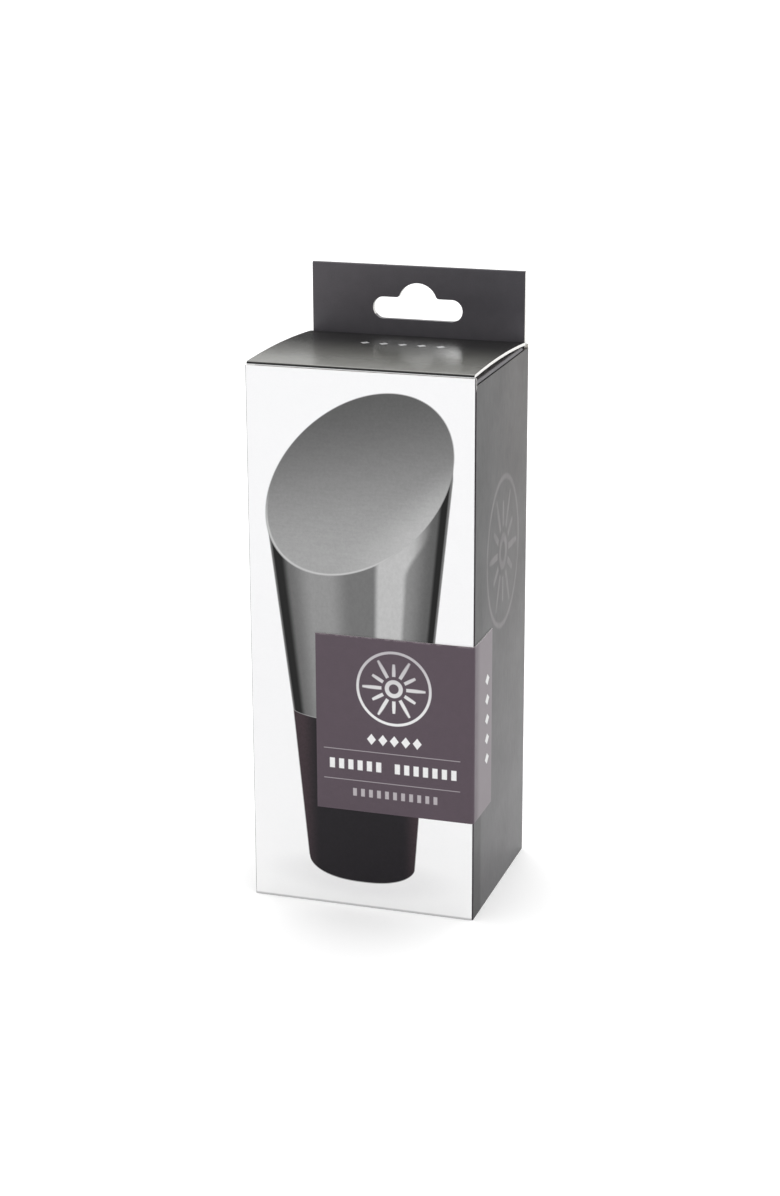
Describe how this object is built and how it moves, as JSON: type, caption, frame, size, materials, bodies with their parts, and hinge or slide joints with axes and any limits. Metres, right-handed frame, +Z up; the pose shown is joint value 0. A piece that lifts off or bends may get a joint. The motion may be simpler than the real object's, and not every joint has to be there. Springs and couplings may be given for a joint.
{
  "type": "boxed bottle stopper",
  "caption": "Slant-topped metal bottle stopper with a tapered silicone plug, in a hang-tab carton whose lid and flaps open.",
  "frame": {"origin": "centre of the carton's base", "axes": "+X to the right of the front panel, +Y to the back, +Z up towards the hang tab"},
  "size_m": [0.0401, 0.0341, 0.1075],
  "materials": {
    "white_board": "satin coated, printed",
    "grey_board": "satin coated, printed",
    "charcoal_board": "satin coated, printed",
    "plain_board": "uncoated",
    "label_paper": "satin",
    "gunmetal": "dark plated, polished side and fine-brushed face",
    "silicone": "matte",
    "steel": "satin"
  },
  "bodies": {
    "carton": {"front_panel": "white_board", "back_panel": "charcoal_board", "left_panel": "grey_board", "right_panel": "grey_board", "hang_tab_ply": "charcoal_board", "glue_flap": "plain_board", "label": "label_paper", "bottom_outer_flap": "charcoal_board", "bottom_inner_flap": "plain_board", "bottom_dust_left": "plain_board", "bottom_dust_right": "plain_board", "cradle_deck": "plain_board", "cradle_leg_left": "plain_board", "cradle_leg_right": "plain_board"},
    "lid": {"top_lid": "charcoal_board"},
    "tuck": {"top_tuck": "charcoal_board"},
    "dust_flap_left": {"top_dust_left": "charcoal_board"},
    "dust_flap_right": {"top_dust_right": "charcoal_board"},
    "stopper": {"stopper_head": "gunmetal", "silicone_plug": "silicone", "plug_washer": "steel", "plug_screw": "steel"}
  },
  "joints": [
    {"name": "stopper_lift", "type": "slide", "parent": "carton", "child": "stopper", "axis": [0, 0, 1], "range_m": [0, 0.096]},
    {"name": "lid_crease", "type": "hinge", "parent": "carton", "child": "lid", "pos_m": [0, -0.017, 0.09551], "axis": [1, 0, 0], "range_deg": [0, 205]},
    {"name": "tuck_crease", "type": "hinge", "parent": "lid", "child": "tuck", "pos_m": [0, 0.01565, 0.09471], "axis": [1, 0, 0], "range_deg": [0, 41]},
    {"name": "dust_crease_left", "type": "hinge", "parent": "carton", "child": "dust_flap_left", "pos_m": [-0.02, 0, 0.09426], "axis": [0, -1, 0], "range_deg": [0, 210]},
    {"name": "dust_crease_right", "type": "hinge", "parent": "carton", "child": "dust_flap_right", "pos_m": [0.02, 0, 0.09426], "axis": [0, 1, 0], "range_deg": [0, 210]}
  ],
  "couplings": [
    {"joint": "lid_crease", "follows": "stopper_lift", "rad_per_m": 37.27},
    {"joint": "tuck_crease", "follows": "stopper_lift", "rad_per_m": 7.454},
    {"joint": "dust_crease_left", "follows": "stopper_lift", "rad_per_m": 38.179},
    {"joint": "dust_crease_right", "follows": "stopper_lift", "rad_per_m": 38.179}
  ]
}
